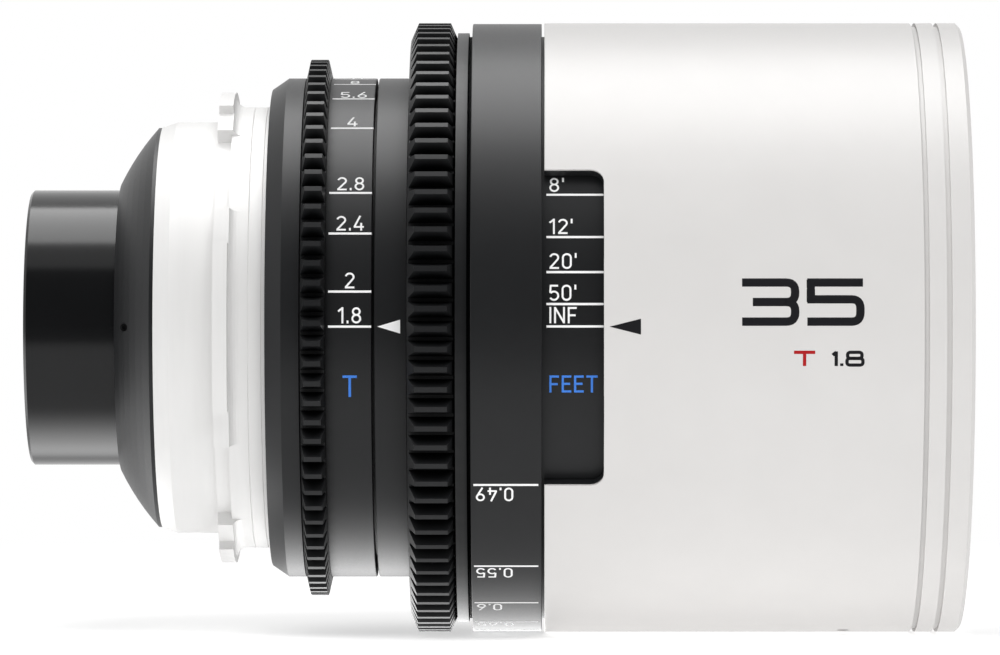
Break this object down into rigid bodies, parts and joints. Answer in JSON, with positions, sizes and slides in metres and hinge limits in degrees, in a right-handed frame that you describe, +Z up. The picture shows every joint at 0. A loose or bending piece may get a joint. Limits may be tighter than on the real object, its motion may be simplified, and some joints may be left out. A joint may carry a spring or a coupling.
{
  "type": "cinema prime lens",
  "caption": "Wide cinema prime lens with a white front barrel, black geared focus and iris rings with scales, a distance window, a bladed iris and an eared bayonet mount.",
  "frame": {"origin": "on the optical axis, in the plane of the mount's seat (the rear face of its four ears)", "axes": "+X along the optical axis towards the subject, +Z up, the scales are read from the -Y side"},
  "size_m": [0.1216, 0.08, 0.08],
  "materials": {
    "black_anodised": "satin black anodised",
    "white_anodised": "bead-blasted white",
    "satin_steel": "satin",
    "brass": "satin",
    "steel": "machined",
    "blade_steel": "matt black",
    "glass": "coated"
  },
  "bodies": {
    "barrel": {"rear_tube": "black_anodised", "rear_cone": "black_anodised", "cone_grub_screws": "steel", "mount_flange": "satin_steel", "mount_base_ring": "satin_steel", "mount_shim": "satin_steel", "mount_screws": "steel", "rear_retaining_ring": "black_anodised", "rear_element": "glass", "rear_spacer": "black_anodised", "rear_middle_element": "glass", "rear_inner_spacer": "black_anodised", "rear_front_element": "glass", "centre_barrel": "black_anodised", "rear_collar": "black_anodised", "iris_base_plate": "black_anodised", "iris_retaining_ring": "black_anodised", "rear_thrust_washer": "brass", "front_thrust_washer": "brass", "focus_retaining_ring": "black_anodised", "front_barrel": "white_anodised", "barrel_grub_screw": "steel", "front_ring": "white_anodised", "front_cell": "black_anodised", "front_inner_element": "glass", "front_inner_retainer": "black_anodised", "front_baffle": "black_anodised", "front_element": "glass", "front_retaining_ring": "black_anodised"},
    "iris": {"iris_ring": "black_anodised", "iris_drive_pin": "steel", "iris_cam_plate": "brass"},
    "blade_1": {"iris_blade_1": "blade_steel"},
    "blade_2": {"iris_blade_2": "blade_steel"},
    "blade_3": {"iris_blade_3": "blade_steel"},
    "blade_4": {"iris_blade_4": "blade_steel"},
    "blade_5": {"iris_blade_5": "blade_steel"},
    "blade_6": {"iris_blade_6": "blade_steel"},
    "blade_7": {"iris_blade_7": "blade_steel"},
    "blade_8": {"iris_blade_8": "blade_steel"},
    "blade_9": {"iris_blade_9": "blade_steel"},
    "focus": {"focus_ring": "black_anodised", "distance_drum": "black_anodised", "drum_screws": "steel", "cam_sleeve": "brass", "cam_dowels": "steel", "focus_stop_pin": "steel"},
    "focus_cell": {"focus_cell": "black_anodised", "cam_rollers": "brass", "roller_screws": "steel", "focus_rear_element": "glass", "focus_spacer": "black_anodised", "focus_front_element": "glass", "focus_cell_retainer": "black_anodised"}
  },
  "joints": [
    {"name": "iris_turn", "type": "hinge", "parent": "barrel", "child": "iris", "pos_m": [0.0157, 0, 0], "axis": [1, 0, 0], "range_deg": [0, 91]},
    {"name": "blade_1_swing", "type": "hinge", "parent": "barrel", "child": "blade_1", "pos_m": [0.0114, 0.0218, 0], "axis": [1, 0, 0], "range_deg": [0, 27.4]},
    {"name": "blade_2_swing", "type": "hinge", "parent": "barrel", "child": "blade_2", "pos_m": [0.0114, 0.0167, 0.01401], "axis": [1, 0, 0], "range_deg": [0, 27.4]},
    {"name": "blade_3_swing", "type": "hinge", "parent": "barrel", "child": "blade_3", "pos_m": [0.0114, 0.00379, 0.02147], "axis": [1, 0, 0], "range_deg": [0, 27.4]},
    {"name": "blade_4_swing", "type": "hinge", "parent": "barrel", "child": "blade_4", "pos_m": [0.0114, -0.0109, 0.01888], "axis": [1, 0, 0], "range_deg": [0, 27.4]},
    {"name": "blade_5_swing", "type": "hinge", "parent": "barrel", "child": "blade_5", "pos_m": [0.0114, -0.02049, 0.00746], "axis": [1, 0, 0], "range_deg": [0, 27.4]},
    {"name": "blade_6_swing", "type": "hinge", "parent": "barrel", "child": "blade_6", "pos_m": [0.0114, -0.02049, -0.00746], "axis": [1, 0, 0], "range_deg": [0, 27.4]},
    {"name": "blade_7_swing", "type": "hinge", "parent": "barrel", "child": "blade_7", "pos_m": [0.0114, -0.0109, -0.01888], "axis": [1, 0, 0], "range_deg": [0, 27.4]},
    {"name": "blade_8_swing", "type": "hinge", "parent": "barrel", "child": "blade_8", "pos_m": [0.0114, 0.00379, -0.02147], "axis": [1, 0, 0], "range_deg": [0, 27.4]},
    {"name": "blade_9_swing", "type": "hinge", "parent": "barrel", "child": "blade_9", "pos_m": [0.0114, 0.0167, -0.01401], "axis": [1, 0, 0], "range_deg": [0, 27.4]},
    {"name": "focus_turn", "type": "hinge", "parent": "barrel", "child": "focus", "pos_m": [0.0334, 0, 0], "axis": [1, 0, 0], "range_deg": [0, 150]},
    {"name": "focus_cell_slide", "type": "slide", "parent": "barrel", "child": "focus_cell", "axis": [1, 0, 0], "range_m": [0, 0.0055]}
  ],
  "couplings": [
    {"joint": "blade_1_swing", "follows": "iris_turn", "ratio": 0.30032},
    {"joint": "blade_2_swing", "follows": "iris_turn", "ratio": 0.30032},
    {"joint": "blade_3_swing", "follows": "iris_turn", "ratio": 0.30032},
    {"joint": "blade_4_swing", "follows": "iris_turn", "ratio": 0.30032},
    {"joint": "blade_5_swing", "follows": "iris_turn", "ratio": 0.30032},
    {"joint": "blade_6_swing", "follows": "iris_turn", "ratio": 0.30032},
    {"joint": "blade_7_swing", "follows": "iris_turn", "ratio": 0.30032},
    {"joint": "blade_8_swing", "follows": "iris_turn", "ratio": 0.30032},
    {"joint": "blade_9_swing", "follows": "iris_turn", "ratio": 0.30032},
    {"joint": "focus_cell_slide", "follows": "focus_turn", "m_per_rad": 0.0021008}
  ]
}
